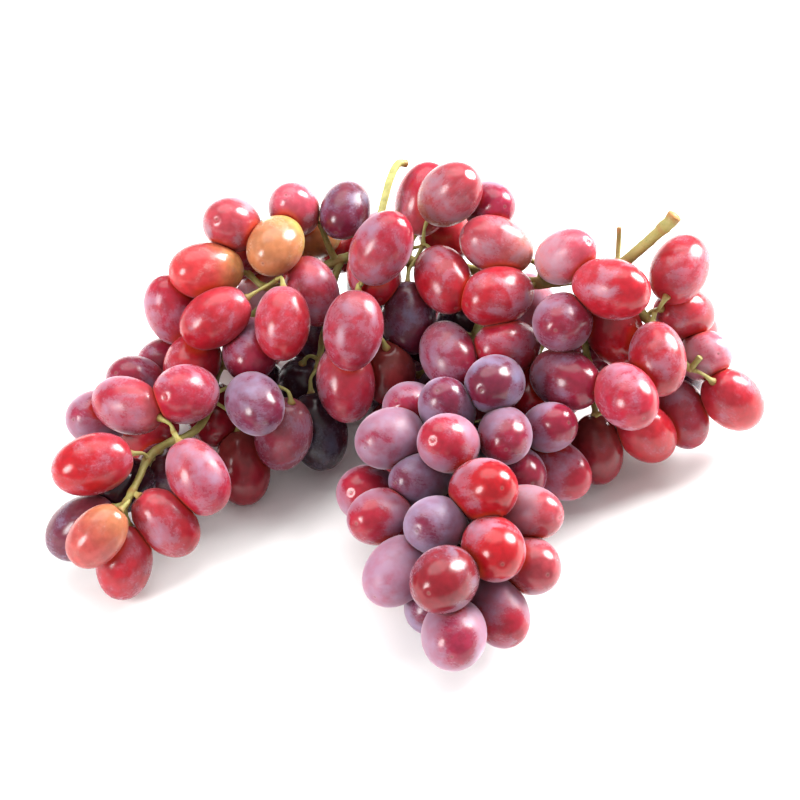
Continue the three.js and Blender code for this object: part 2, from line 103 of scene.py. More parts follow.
PULL = 0.6  # the share of its gap that a holding pair closes in a round
PRESS_HELD = 0.9  # the least share of the full depth that a holding pair presses
SEEN_TIP = 0.75  # a tip that points this much towards the eye stays as it is
RECALL = 0.06  # the share of the way back to its own line of sight in a round
PICK_END = 0.001  # keeps a pick inside its list

# The stem's arms: the radius at the first and the last point, and the points as across, up and height
ARMS = {
    "axis": ((2, 1.1), [
        (85, 143, 78), (77.5, 136, 68), (70, 129.5, 59), (62, 124, 53), (53, 123.3, 51), (41, 122.3, 49),
        (28, 125, 46), (12, 128, 44), (-3, 129.5, 45), (-14, 130.5, 47), (-22, 129.5, 48), (-33, 124, 46),
        (-46, 115, 39), (-56, 104, 32), (-61, 94, 29), (-63, 85, 30), (-66, 77.5, 33), (-71, 73.2, 35),
        (-77, 71, 34), (-83, 66.5, 33), (-86, 60, 31), (-89, 54, 29), (-91, 50.5, 27)]),
    "stalk": ((1.2, 1.35), [
        (-19, 130.5, 47.5), (-14, 135, 54), (-9.5, 142, 62), (-7.5, 149, 68), (-5.5, 156, 73),
        (-3, 160.5, 75), (-0.5, 160.5, 74)]),
    "front": ((1.7, 1), [
        (28, 125, 46), (26, 117, 42), (22, 107, 37), (19, 96, 33), (17, 84, 30), (16, 72, 28),
        (16, 60, 26), (15, 48, 23), (14, 38, 20), (14, 30, 18)]),
    "right": ((1.6, 0.9), [
        (66, 126.5, 56), (71, 120, 52), (75.5, 112, 48), (80, 107, 42), (85, 101, 37), (89, 96, 34),
        (91, 94.5, 33)]),
    "under_right": ((1.4, 0.9), [
        (56, 123.3, 51.5), (56, 113, 43), (57, 101, 35), (59, 90, 30), (60, 80, 26)]),
    "under_left": ((1.4, 0.9), [(-22, 129.5, 48), (-25, 118, 42), (-27, 106, 35), (-29, 95, 28)]),
    "left_fork": ((1.3, 0.9), [(-36, 121.5, 45.5), (-46, 121, 52), (-51.5, 125.5, 54)]),
    "back_twig": ((1.3, 0.9), [(-23, 129, 48), (-25.5, 134, 53), (-28, 141, 58)]),
}
BARE_TWIGS = {
    "beside_cut": ((0.9, 0.8), [(67, 128, 56), (67.4, 134.5, 61), (67.6, 140, 66)]),
    "dropped": ((0.8, 1.1), [(90.5, 94.7, 33.5), (91.5, 96, 35), (93.5, 98.5, 38)]),
    "cut_end": ((1.95, 2.6), [(81.6, 139.6, 73.6), (83.6, 141.6, 76.2), (85.4, 143.8, 78.6)]),
}

# The berries that show. Each row is across, up, height, lean, reach, half width and complexion.
CLUSTERS = {
    "left_tip": [
        (-101, 64, 32, 197, 12.9, 9.5, "cherry"), (-104, 44, 13, 214, 12.8, 9.4, "plum"),
        (-99.5, 41.3, 27, 228, 11.4, 8.1, "salmon"), (-91, 33, 12, 262, 12.1, 8.8, "red"),
        (-77.8, 45.2, 24, 314, 12.2, 8.9, "red"), (-67, 60.8, 32, 298, 12.8, 9.3, "rose"),
        (-53, 62.5, 13, 277, 12.5, 8.9, "maroon"), (-89.6, 83, 37, 160, 11.8, 8.9, "rose"),
        (-98.8, 79.6, 24, 185, 10, 8.8, "pink"), (-87, 89, 25, 150, 10, 8.8, "mauve"),
        (-77, 97, 30, 190, 10.5, 8.9, "mauve"), (-71, 86.7, 44, 190, 10.4, 9.4, "rose"),
        (-49.2, 83.7, 38, 300, 10.4, 9.2, "lilac"), (-39.5, 74, 24, 255, 11.8, 9.2, "mauve"),
        (-28.6, 75, 12, 281, 13, 9.4, "dark"), (-84, 75.5, 18, 210, 11, 8.8, "cherry"),
        (-91, 57.5, 13, 200, 10, 8.8, "dark"), (-79, 60, 12, 270, 10.5, 8.8, "plum"),
        (-61, 79, 15, 280, 10.5, 9, "maroon"), (-34, 90, 22, 270, 11, 9, "dark"),
        (-45, 88, 12, 280, 10, 9, "dark"), (-62.5, 98, 31, 240, 10.5, 8.8, "red")],
    "left_shoulder": [
        (-65, 126.7, 56, 184, 11.9, 9.2, "scarlet"), (-62, 109, 52, 213, 12.8, 8.9, "red"),
        (-40.2, 109.4, 56, 268, 12, 8.8, "red"), (-75, 111, 40, 110, 11.4, 8.9, "rose"),
        (-56, 141.8, 57, 165, 9.4, 8.8, "pale"), (-37.6, 144.6, 60, 120, 8.9, 8.3, "blush"),
        (-43.2, 136, 66, 238, 10.2, 8.9, "amber"), (-51, 132.5, 40, 210, 11, 8.8, "red"),
        (-30.2, 137.3, 45, 200, 8.8, 7.9, "amber"), (-21, 133.5, 35, 240, 9, 8, "red"),
        (-17.8, 145.3, 62, 250, 9.8, 8, "plum"), (-31.4, 120.8, 48, 292, 11.8, 8.7, "rose"),
        (-50.5, 100.5, 45, 265, 10.5, 9, "mauve"), (-45.5, 119.5, 33, 200, 10, 8.4, "blush"),
        (-29, 105, 33, 268, 12, 9, "plum")],
    "crown": [
        (-8.6, 133.4, 66, 60, 12.6, 9.4, "rose"), (-10.5, 124.5, 45, 285, 10.5, 8.6, "red"),
        (-17.6, 107, 56, 262, 13, 9.5, "rose"), (-20, 90.3, 32, 276, 12.9, 9.4, "rose"),
        (-1, 111.5, 41, 272, 12, 8.9, "plum"), (11.4, 123.2, 56, 292, 11.4, 9, "red"),
        (5, 149, 60, 74, 12.6, 9.1, "rose"), (13.2, 150.6, 74, 42, 11.2, 9.5, "pale"),
        (11.5, 139, 46, 300, 10.5, 8.8, "cherry"), (26, 147, 62, 350, 8.6, 7.9, "pink"),
        (28.4, 134.3, 62, 160, 12.3, 9.2, "pale"), (28.6, 117.8, 56, 197, 12, 9.5, "red"),
        (12.8, 98, 37, 291, 11.4, 9.1, "mauve"), (32.5, 102, 40, 190, 11, 9, "rose"),
        (18, 108, 30, 260, 10.5, 8.8, "dark"), (-6, 94, 20, 275, 10.5, 8.8, "maroon")],
    "front": [
        (14.1, 10.6, 14, 262, 10.9, 10, "pink"), (29, 17.3, 13, 297, 11.6, 9.1, "rose"),
        (11.6, 26.8, 31, 215, 10.9, 10.1, "maroon"), (-3.2, 30, 20, 228, 11.9, 9.6, "pink"),
        (7.8, 21.5, 11, 240, 10, 8.9, "lilac"), (8.6, 44.6, 34, 195, 9.9, 8.9, "lilac"),
        (27.4, 37.2, 32, 300, 10.3, 9.7, "cherry"), (24.2, 56, 41, 10, 10.7, 10, "cherry"),
        (38, 31.6, 20, 335, 9.8, 8.9, "pale"), (38.5, 49.2, 27, 352, 10.8, 8.6, "pale"),
        (-8.6, 47.8, 26, 194, 10.2, 8.8, "rose"), (-13, 54.8, 18, 170, 10, 9.3, "rose"),
        (3.4, 58.7, 34, 186, 9.9, 8.3, "lilac"), (13, 71, 44, 165, 9.9, 9.2, "rose"),
        (-5.6, 72.6, 36, 200, 11.2, 9.5, "pink"), (1.5, 81.5, 30, 150, 10, 9, "pink"),
        (12.8, 82, 39, 120, 10, 8.9, "lilac"), (31, 73.4, 40, 270, 9.1, 8.6, "mauve"),
        (45.2, 76, 34, 15, 8.8, 7.8, "mauve"), (35.5, 62.5, 22, 320, 9, 8.2, "mauve"),
        (48, 62.8, 20, 322, 11.6, 8.8, "rose"), (27.6, 90, 43, 205, 9.8, 9.2, "plum")],
    "right": [
        (49, 110.2, 54, 225, 9.9, 9.5, "mauve"), (50.5, 90.6, 38, 333, 11.6, 9.6, "mauve"),
        (65.5, 120.5, 62, 345, 12.5, 9.7, "red"), (64, 107.5, 41, 290, 12, 9.2, "cherry"),
        (56.3, 102, 28, 290, 9.5, 8.2, "mauve"), (50.4, 131, 60, 30, 10.1, 8.5, "blush"),
        (87, 126.8, 58, 62, 11.9, 9.3, "red"), (88.3, 112.6, 41, 352, 10.2, 8.4, "red"),
        (79.8, 98, 46, 277, 12, 9.1, "red"), (69.8, 86, 42, 305, 11.2, 9.5, "rose"),
        (76.5, 74.6, 21, 318, 10.9, 8.8, "cherry"), (87.6, 78.6, 17, 294, 12, 8.6, "rose"),
        (94.8, 98.8, 33, 10, 8.7, 8.3, "blush"), (105.2, 85.2, 21, 321, 11.4, 9.2, "cherry"),
        (60, 69, 12, 276, 11.6, 8.5, "maroon"), (73, 97, 28, 280, 11, 9, "cherry"),
        (39, 87, 24, 270, 10, 9, "red"), (38.4, 115, 36, 280, 10.5, 8.8, "rose")],
}
TIP_AWAY = [("right", 5)]  # the berries in these rows point away from the eye
HIDDEN_COMPLEXIONS = ["maroon", "plum", "rose", "dark", "red"]


# Vectors are tuples of three numbers here, because the lay-out needs all their digits.
def plus(a, b, share=1.0):
    return (a[0] + b[0] * share, a[1] + b[1] * share, a[2] + b[2] * share)


def less(a, b):
    return (a[0] - b[0], a[1] - b[1], a[2] - b[2])


def times(a, share):
    return (a[0] * share, a[1] * share, a[2] * share)


def dot(a, b):
    return a[0] * b[0] + a[1] * b[1] + a[2] * b[2]


def length(a):
    return math.sqrt(a[0] * a[0] + a[1] * a[1] + a[2] * a[2])


def unit(a):
    return times(a, 1 / length(a))


def lerp(a, b, share):
    return plus(a, less(b, a), share)


ACROSS = (1.0, 0.0, 0.0)
UP = (0.0, math.sin(VIEW_TILT), math.cos(VIEW_TILT))
TOWARDS_EYE = (0.0, -math.cos(VIEW_TILT), math.sin(VIEW_TILT))
EYE = plus(AIM, TOWARDS_EYE, EYE_DISTANCE)


def seen_at(across, up, height):
    """The point seen at across and up that is this high above the table."""
    on_plane = plus(plus(AIM, ACROSS, across - AIM_SEEN[0]), UP, up - AIM_SEEN[1])
    share = (EYE[2] - height) / (EYE[2] - on_plane[2])
    return lerp(EYE, on_plane, share)


class Berry:
    """One berry: its middle, the way its tip points, and its half length and half width."""

    def __init__(self, cluster, at, axis, half_width, shows, complexion):
        self.cluster = cluster
        self.at = at
        self.home = at
        self.axis = axis
        self.half_width = half_width
        self.half_length = half_width * BERRY_PLUMPNESS
        self.shows = shows
        self.complexion = complexion

    def reach(self, direction):
        """Half the size of the berry through its middle in a direction."""
        along = dot(direction, self.axis)
        beside = 1 - along * along
        return 1 / math.sqrt((along * along) / self.half_length**2 + beside / self.half_width**2)

    def resting_height(self):
        """How high its middle stands when it lies on the table and has flattened there."""
        upright = self.axis[2] ** 2
        spread = self.half_length**2 * upright + self.half_width**2 * (1 - upright)
        return math.sqrt(spread) - FLAT_DEPTH

    def push(self, direction, distance):
        """Moves it, but a berry that shows moves mostly along the line of sight."""
        sight = unit(less(EYE, self.at))
        along = dot(direction, sight)
        share = SIDEWAYS_SHARE if self.shows else 1
        self.at = plus(self.at, direction, distance * share)
        self.at = plus(self.at, sight, along * distance * (1 - share))

    def recall(self):
        """Moves it back towards the line from the eye through its own place."""
        sight = unit(less(EYE, self.home))
        off = less(self.at, self.home)
        off = plus(off, sight, -dot(off, sight))
        self.at = plus(self.at, off, -RECALL)


def seen_berry(cluster, row, away):
    across, up, height, lean, reach, half_width, complexion = row
    half_length = half_width * BERRY_PLUMPNESS
    foreshortened = (reach**2 - half_width**2) / (half_length**2 - half_width**2)
    flat = math.sqrt(min(1, max(0, foreshortened)))
    turned = math.sqrt(1 - flat * flat) * (-1 if away else 1)
    angle = math.radians(lean)
    axis = plus((0.0, 0.0, 0.0), ACROSS, flat * math.cos(angle))
    axis = plus(plus(axis, UP, flat * math.sin(angle)), TOWARDS_EYE, turned)
    return Berry(cluster, seen_at(across, up, height), axis, half_width, True, complexion)


def nearest_on(paths, point):
    """The nearest point on the middle lines of paths: its distance, the point and the radius there."""
    best = (math.inf, None, None)
    for path in paths:
        for (start, start_radius), (end, end_radius) in zip(path, path[1:]):
            step = less(end, start)
            share = min(1, max(0, dot(less(point, start), step) / dot(step, step)))
            spot = plus(start, step, share)
            distance = length(less(point, spot))
            if distance < best[0]:
                best = (distance, spot, start_radius + (end_radius - start_radius) * share)
    return best


def lay_paths(stems, earlier):
    """Paths along stems: points, each with its radius. A path starts on the nearest earlier one."""
    paths = []
    for (first, last), route in stems.values():
        step = (last - first) / (len(route) - 1)
        path = [(seen_at(*point), first + step * i) for i, point in enumerate(route)]
        before = earlier + paths
        if before:
            path[0] = (nearest_on(before, path[0][0])[1], path[0][1])
        paths.append(path)
    return paths


class Draws:
    """A series of random numbers that is the same at each run."""

    def __init__(self, seed):
        self.seed = seed

    def between(self, low, high):
        self.seed = (self.seed * DRAW_FACTOR) % DRAW_CYCLE
        return low + ((high - low) * self.seed) / DRAW_CYCLE

    def pick(self, names):
        return names[int(self.between(0, len(names) - PICK_END))]


def gap_between(a, b):
    direction = less(b.at, a.at)
    distance = length(direction)
    direction = times(direction, 1 / distance)
    return direction, distance - a.reach(direction) - b.reach(direction)


def holding_pairs(berries):
    """The pairs that hold each cluster together: its berries joined one by one to the nearest."""
    pairs = []
    for cluster in CLUSTERS:
        out = [berry for berry in berries if berry.cluster == cluster]
        inside = [out.pop(0)]
        while out:
            best = (math.inf, None, None)
            for a in inside:
                for b in out:
                    gap = gap_between(a, b)[1]
                    if gap < best[0]:
                        best = (gap, a, b)
            pairs.append(best[1:])
            inside.append(best[2])
            out.remove(best[2])
    return pairs


def settle(berries, arms):
    """Moves the berries apart where they press too deep, and draws together the pairs that hold."""
    pairs = holding_pairs(berries)
    for _ in range(SETTLE_ROUNDS):
        for a, b in pairs:
            direction, gap = gap_between(a, b)
            loose = gap + PRESS_WITHIN * PRESS_HELD
            if loose > 0:
                a.push(direction, (loose * PULL) / 2)
                b.push(direction, (-loose * PULL) / 2)
        for i, a in enumerate(berries):
            for b in berries[i + 1:]:
                if length(less(b.at, a.at)) > a.half_length + b.half_length + GAP_BETWEEN:
                    continue
                direction, gap = gap_between(a, b)
                short = (-PRESS_WITHIN if a.cluster == b.cluster else GAP_BETWEEN) - gap
                if short > 0:
                    a.push(direction, -short / 2)
                    b.push(direction, short / 2)
        for berry in berries:
            clear_of_arms(berry, arms)


def clear_of_arms(berry, arms):
    if berry.shows:
        berry.recall()
    distance, spot, radius = nearest_on(arms, berry.at)
    away = times(less(berry.at, spot), 1 / distance)
    close = berry.reach(away) * FACET_SWELL + radius + CLEARANCE - distance
    if close > 0:
        berry.push(away, close)
    short = berry.resting_height() - berry.at[2]
    if short > 0:
        sight = unit(less(EYE, berry.at))
        berry.at = plus(berry.at, sight, short / sight[2])


def face_from_stem(berries, arms):
    """A berry seen from the side has its stem end on the side of the nearest arm."""
    for berry in berries:
        turned = dot(berry.axis, TOWARDS_EYE)
        if turned > SEEN_TIP:
            continue
        mirrored = plus(berry.axis, TOWARDS_EYE, -2 * turned)
        away = less(berry.at, nearest_on(arms, berry.at)[1])
        if dot(away, mirrored) > dot(away, berry.axis):
            berry.axis = mirrored


def is_hidden(berry, berries):
    """Whether the berries in front hide a berry's middle and the points round its edge from the eye."""
    for k in range(EDGE_POINTS + 1):
        turn = (k * 2 * math.pi) / EDGE_POINTS
        edge = EDGE_SHARE * berry.half_width if k else 0
        spot = plus(plus(berry.at, ACROSS, edge * math.cos(turn)), UP, edge * math.sin(turn))
        sight = unit(less(EYE, spot))
        if not any(covers(other, spot, sight) for other in berries):
            return False
    return True


def covers(other, spot, sight):
    offset = less(other.at, spot)
    ahead = dot(offset, sight)
    return ahead > 0 and length(plus(offset, sight, -ahead)) < other.half_width


def fill_behind(berries, arms):
    draws = Draws(SEED)
    complexions = Draws(SEED + 1)
    rows = range(FILL_ROWS[0], FILL_ROWS[1] + 1)
    columns = range(FILL_COLUMNS[0], FILL_COLUMNS[1] + 1)
    for height, row, column in itertools.product(FILL_HEIGHTS, rows, columns):
        at = (
            AIM[0] + column * FILL_STEP + draws.between(-FILL_JITTER, FILL_JITTER),
            AIM[1] + row * FILL_STEP + draws.between(-FILL_JITTER, FILL_JITTER),
            height + draws.between(0, FILL_JITTER),
        )
        half_width = TYPICAL_HALF_WIDTH * draws.between(*FILL_WIDTHS)
        distance, spot, _ = nearest_on(arms, at)
        if distance > FILL_FROM_STEM or distance < half_width:
            continue
        away = unit(less(at, spot))
        axis = unit((away[0], away[1], away[2] - FILL_DROOP))
        berry = Berry(None, at, axis, half_width, False, None)
        if any(gap_between(berry, other)[1] < -FILL_PRESS for other in berries):
            continue
        if not is_hidden(berry, berries):
            continue
        shown = [other for other in berries if other.shows]
        berry.cluster = min(shown, key=lambda other: length(less(other.at, at))).cluster
        berry.complexion = complexions.pick(HIDDEN_COMPLEXIONS)
        berries.append(berry)


def clear_of_berries(point, radius, berries):
    for _ in range(CLEAR_ROUNDS):
        for berry in berries:
            away = less(point, berry.at)
            distance = length(away)
            if distance > LONGEST_REACH + radius:
                continue
            away = times(away, 1 / distance)
            short = berry.reach(away) * FACET_SWELL + radius + CLEARANCE - distance
            if short > 0:
                point = plus(point, away, short * CLEAR_SHARE)
    return point


def pedicel_path(berry, berries, network):
    """A pedicel's path from its berry to the nearest stem, bent clear of the berries on its way."""
    tip = plus(berry.at, berry.axis, -(berry.half_length * FACET_SWELL + TIP_GAP))
    towards = unit(less(nearest_on(network, tip)[1], tip))
    neck = plus(tip, unit(less(towards, berry.axis)), PEDICEL_RUN)
    neck = clear_of_berries(neck, PEDICEL_RADII[1], berries)
    distance, spot, _ = nearest_on(network, neck)
    points = [tip, neck]
    if distance > SHORT_PEDICEL:
        points.append(clear_of_berries(lerp(neck, spot, 0.5), PEDICEL_RADII[2], berries))
    points.append(spot)
    if dot(less(neck, tip), less(points[2], neck)) < 0 or distance < NO_NECK:
        del points[1]
    radii = PEDICEL_RADII[:len(points) - 1] + PEDICEL_RADII[3:]
    return list(zip(points, radii))


@functools.cache
def lay_out():
    """The whole bunch: its berries, its arms, its bare twigs and a pedicel for each berry."""
    berries = [
        seen_berry(cluster, row, (cluster, i) in TIP_AWAY)
        for cluster, rows in CLUSTERS.items()
        for i, row in enumerate(rows)
    ]
    arms = lay_paths(ARMS, [])
    bare = lay_paths(BARE_TWIGS, arms)
    settle(berries, arms)
    face_from_stem(berries, arms)
    fill_behind(berries, arms)
    settle(berries, arms)
    network = [path for name, path in zip(ARMS, arms) if name != "stalk"]
    pedicels = {}
    for berry in sorted(berries, key=lambda berry: nearest_on(arms, berry.at)[0]):
        path = pedicel_path(berry, berries, network)
        pedicels[berry] = path
        network.append(path[1:])
    return berries, arms, bare, pedicels


# Making the pieces

# Each complexion: the skin, the skin near the stem, the bloom, and how much of the skin the bloom covers
COMPLEXIONS = {
    "red": ("#961622", "#a4303a", "#967286", 0.46),
    "cherry": ("#9e101a", "#9c2430", "#9a7488", 0.32),
    "scarlet": ("#bc3438", "#e8ae70", "#b88c88", 0.34),
    "rose": ("#941c2e", "#9c4048", "#927086", 0.56),
    "pink": ("#8a203a", "#98505e", "#90748a", 0.74),
    "mauve": ("#7c1a30", "#88444c", "#867088", 0.6),
    "lilac": ("#681c34", "#764658", "#82728c", 0.68),
    "plum": ("#5c182c", "#662e36", "#706a86", 0.5),
    "maroon": ("#7c1420", "#742f2c", "#78687e", 0.22),
    # dark: near-black skin, given to berries that lie under others in the bunch's gaps, is painted shade
    "dark": ("#2a101a", "#381e26", "#505266", 0.42),
    "amber": ("#ae6e48", "#c6b25c", "#b0947a", 0.36),
    "salmon": ("#a0403c", "#ac6c4a", "#a0786e", 0.38),
    "pale": ("#a03842", "#b4705c", "#987a88", 0.6),
    "blush": ("#b04858", "#c07460", "#a88694", 0.76),
}
NODE_CLUSTERS = {
    name.split("berries_")[1]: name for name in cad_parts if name.startswith("berries_")}

TO_MM = 1 / MM
FIELD_KINDS = {(): ("FLOAT", "value"), (3,): ("FLOAT_VECTOR", "vector"), (4,): ("FLOAT_COLOR", "color")}

# A berry's shape, with lengths in millimetres
POLE_CROWDING = 0.3  # how much the rings of faces close up at both ends
FULLNESS = 0.94  # under 1, the ends are blunter than a ball's
EGG = 0.045  # the most that one end is widened and the other narrowed
LUMP_WAVES = 4
LUMP_TURN = 2.6  # the most that a wave turns along each axis, from middle to skin, in radians
LUMP_LEVEL = 0.5  # taken off the waves, so that more of the skin is lowered than raised
STEM_DIMPLE_WIDTH = 2.2
TIP_DIMPLE_WIDTH = 1.1
RIM_HEIGHT, RIM_RADIUS, RIM_WIDTH = 0.1, 1.7, 0.8  # round the tip's dimple, the height a share of it
PLANE_ROUNDS = 30
NEIGHBOUR_GAP = 2  # berries this far apart, even end to end, are passed over
MEETING_GAP = 1  # skins nearer than this are pressed where they meet
PARTING = 0.05  # left between a pressed skin and the plane where it meets the next

# A berry's marks, as shares. Pairs are for the berries elsewhere and for those at the front.
RUBBED_AND_LIT_SHARES = ((0.2, 0.8), (0.75, 1.0))  # how much bloom is rubbed off at the tip and thinned on the side towards the lamps as painted light, at least and at most
EXTRA_BLOOM = (-0.16, 0.14)
BLOOM_SPREAD = 0.08
TINT_SPREAD = 0.12
LIT_SIDE = np.array(unit((0.5, -0.35, 0.8)))  # the side towards the lamps, where the bloom is thinned so that the skin shows redder and shinier: painted light
TIP_RUB, LIT_SIDE_WEIGHT = 0.75, 0.45  # how much the tip is rubbed, and how much the side towards the lamps is thinned as painted light
RUBBED_AND_LIT_FROM, RUBBED_AND_LIT_BAND = 0.58, 0.5  # where the rubbing and the painted lit side start to show, and how much more shows fully
GLOW_REACH = 1.4  # how far from where two berries touch light comes through, in millimetres
GLOWING_RED = 0.35  # skin with this much red or more lets all of it through
PATTERN_ROOM = 120  # a berry reads the patterns at a place of its own, in a room of this many millimetres

# Patterns on the skin: the size of their spots in millimetres, their detail, roughness and distortion
SKIN_PATTERNS = {
    "waver": (5, 2, 0.5, 0),  # of the edge of the part near the stem
    "blotches": (2.6, 3, 0.5, 0),
    "patches": (8, 2, 0.5, 0.5),  # of bloom
    "depth": (4, 2, 0.5, 0),  # of the bloom
    "dust": (0.8, 4, 0.7, 0),
    "pores": (0.35, 2, 0.5, 0),
}
SCRATCH = 1.3  # in millimetres, before it is stretched
SCRATCH_STRETCH = (0.35, 1.6, 0.5)

# Patterns on the stem, in millimetres
MOTTLE = 2.2
STEM_GRAIN = 0.5
SPECKS_APART = 1.1
WOOD_FIBRE = 0.35

# Settings that many nodes share
SMOOTH = {"interpolation_type": "SMOOTHSTEP"}
MULTIPLY_ADD = {"operation": "MULTIPLY_ADD"}

# A stem's surface, with lengths in millimetres. Tan is the share of corky colour.
SIDE_GUIDE = (0.13, 0.2, 1)  # a direction in which no stem starts
KNOT_TAN = 0.6
COLLAR_LENGTH, COLLAR_TAN_LENGTH, COLLAR_TAN = 1.1, 1.8, 0.75
CUT_TAN_LENGTH, CUT_TAN, CUT_RING_TAN = 2.2, 0.9, 0.8
WART_HEIGHT = 0.07  # over the stem's radius
WART_PACE, WART_ROUND, WART_TWIST = 0.9, 0.8, 0.3  # how fast they change along a stem and round it
RIBS, RIB_TWIST = 3, 0.05  # how many, and how far they turn in a millimetre, in radians
END_RING, END_RISE = 0.72, 0.16  # the ring that closes an end, as shares of the stem's radius
CUT_MIDDLE_RISE, END_MIDDLE_RISE = 0.1, 0.24
ARM_SIDES, PEDICEL_SIDES = 16, 10
STALK_PALE, ARM_PALE, PEDICEL_PALE = 0.9, 0.15, 0.3
ROOT_DEPTH = 1.0  # how deep in its berry a pedicel starts

# The stage. The lamps and the floor's reach are in metres, the rest in millimetres.
SENSOR_WIDTH = 36
SEEN_WIDTH = 256  # how wide the view is at the eye's aim
FLOOR_REACH = 3
FLOOR_DEPTH = 0.05
SKY_STRENGTH = 0.68
LAMPS = {  # where each hangs from the bunch, how far off, its width and height, and its power in watts
    "window_back_right": ((0.71, 0.52, 0.5), 1.1, (0.5, 0.75), 36),
    "overhead": ((-0.1, 0.45, 0.9), 1.3, (1.5, 1.1), 15),
    "front_left": ((-0.73, -0.48, 0.48), 1.2, (0.42, 0.6), 15),
}


def linear(code):
    """An sRGB hex colour as the linear colour that a shader takes."""
    parts = [int(code[i:i + 2], 16) / 255 for i in (1, 3, 5)]
    return tuple(p / 12.92 if p <= 0.04045 else ((p + 0.055) / 1.055) ** 2.4 for p in parts)


def length_mm(name, description, default):
    """A size setting, given in millimetres and kept in metres."""
    return bpy.props.FloatProperty(
        name=name, description=description, default=default * MM, min=0, unit="LENGTH", precision=5)


def hue(name, description, code):
    """A colour setting, given as an sRGB hex colour."""
    return bpy.props.FloatVectorProperty(
        name=name, description=description, default=linear(code), min=0, max=1, size=3, subtype="COLOR")


class BerrySizes(bpy.types.PropertyGroup):
    swell: length_mm("Swell", "How far the skin stands out from the laid-out berry", 0.5)
    lumps: length_mm("Lumps", "The height of the broad unevenness of a berry", 0.16)
    stem_dimple: length_mm("Stem dimple", "How deep the skin dips where the pedicel joins", 0.8)
    tip_dimple: length_mm("Tip dimple", "How deep the skin dips at the scar on its tip", 0.24)
    softness: length_mm("Softness", "How rounded the edge is where two berries press flat", 0.18)
    rings: bpy.props.IntProperty(
        name="Rings", description="Rings of faces from stem end to tip", default=34)
    sides: bpy.props.IntProperty(name="Sides", description="Faces round a berry", default=46)


class StemSizes(bpy.types.PropertyGroup):
    step: length_mm("Step", "The distance between the rings of a stem", 0.7)
    knot: length_mm("Knot", "How far a stem swells where another leaves it", 0.35)
    knot_width: length_mm("Knot width", "How long that swelling is", 1.6)
    thinness: bpy.props.FloatProperty(
        name="Thinness", description="A pedicel's thickness as a share of the part's own", default=0.68)
    collar: length_mm("Collar", "The radius of the warty collar that holds a berry", 1.55)
    ribs: length_mm("Ribs", "The height of the ribs along the stem", 0.09)


class GrapeColours(bpy.types.PropertyGroup):
    glow: hue("Glow", "Light that comes through where berries touch", "#bc401a")
    sheen: hue("Sheen", "The soft shine of the bloom at a berry's edge", "#f1dcea")
    scar: hue("Scar", "The dry dot at a berry's tip", "#5c3a2a")
    scar_ring: hue("Scar ring", "The pale ring round the dot", "#d9b8b4")
    stem: hue("Stem", "Fresh green stem", "#8f8246")
    stem_green: hue("Green stem", "Its greener blotches", "#7c8440")
    stem_pale: hue("Pale stem", "Young stem, as at the side stalk", "#c6c076")
    stem_tan: hue("Tan stem", "Corky skin at the knots and the cut end", "#946a34")
    stem_speck: hue("Stem speck", "The tiny specks on the stem", "#6b4a22")
    cut_wood: hue("Cut wood", "The dried cut face", "#9a5a2a")
    cut_fibre: hue("Cut fibre", "The lighter fibres in it", "#c08a50")
    pith: hue("Pith", "The middle of the cut face", "#d8bc86")
    floor: hue("Floor", "The plain floor", "#f4f4f2")


def add_node(tree, kind, inputs=(), out=0, **settings):
    """Adds a node with its settings, sets or links its inputs, and gives the output asked for."""
    node = tree.nodes.new("ShaderNode" + kind)
    for name, value in settings.items():
        setattr(node, name, value)
    for key, value in inputs.items() if isinstance(inputs, dict) else enumerate(inputs):
        socket = node.inputs[key]
        if isinstance(value, bpy.types.NodeSocket):
            tree.links.new(value, socket)
        elif socket.type == "RGBA":
            socket.default_value = (*value, 1)
        else:
            socket.default_value = value
    return node.outputs[out] if node.outputs else None


def new_material(name):
    """A new material, and add_node for its own empty tree."""
    material = bpy.data.materials.new(name)
    material.use_nodes = True
    material.node_tree.nodes.clear()
    return material, functools.partial(add_node, material.node_tree)


